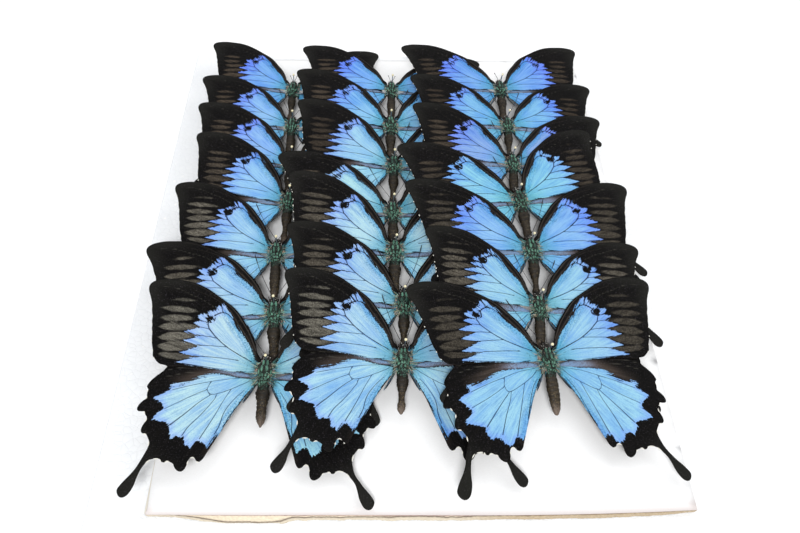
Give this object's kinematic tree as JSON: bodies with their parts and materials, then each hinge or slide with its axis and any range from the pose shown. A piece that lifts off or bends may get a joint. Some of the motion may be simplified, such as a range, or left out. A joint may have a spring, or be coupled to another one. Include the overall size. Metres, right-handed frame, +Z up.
{
  "type": "pinned butterfly board",
  "caption": "Board of spread swallowtail butterflies pinned in overlapping columns through a white-faced card into an expanded polystyrene slab, resting flat.",
  "frame": {"origin": "middle of the slab's underside", "axes": "+Z up through the thickness of the slab, +X to the right and +Y away from the front edge, towards which the abdomens point"},
  "size_m": [0.3032, 0.3, 0.0428],
  "materials": {
    "foam": "expanded polystyrene, fine bead texture, matt",
    "card": "white paper face on brown corrugated core, raw cut edges",
    "butterfly": "dry wing scales, blue with black veins and brown-black margins",
    "pin": "thin steel shaft with a cream glass bead"
  },
  "bodies": {
    "root": {"foam_slab": "foam", "card_sheet": "card", "butterfly_A1": "butterfly", "butterfly_A2": "butterfly", "butterfly_A3": "butterfly", "butterfly_A4": "butterfly", "butterfly_A5": "butterfly", "butterfly_A6": "butterfly", "butterfly_A7": "butterfly", "butterfly_B1": "butterfly", "butterfly_B2": "butterfly", "butterfly_B3": "butterfly", "butterfly_B4": "butterfly", "butterfly_B5": "butterfly", "butterfly_B6": "butterfly", "butterfly_B7": "butterfly", "butterfly_C1": "butterfly", "butterfly_C2": "butterfly", "butterfly_C3": "butterfly", "butterfly_C4": "butterfly", "butterfly_C5": "butterfly", "butterfly_C6": "butterfly", "butterfly_C7": "butterfly", "pin_A1": "pin", "pin_A2": "pin", "pin_A3": "pin", "pin_A4": "pin", "pin_A5": "pin", "pin_A6": "pin", "pin_A7": "pin", "pin_B1": "pin", "pin_B2": "pin", "pin_B3": "pin", "pin_B4": "pin", "pin_B5": "pin", "pin_B6": "pin", "pin_B7": "pin", "pin_C1": "pin", "pin_C2": "pin", "pin_C3": "pin", "pin_C4": "pin", "pin_C5": "pin", "pin_C6": "pin", "pin_C7": "pin"}
  },
  "joints": []
}
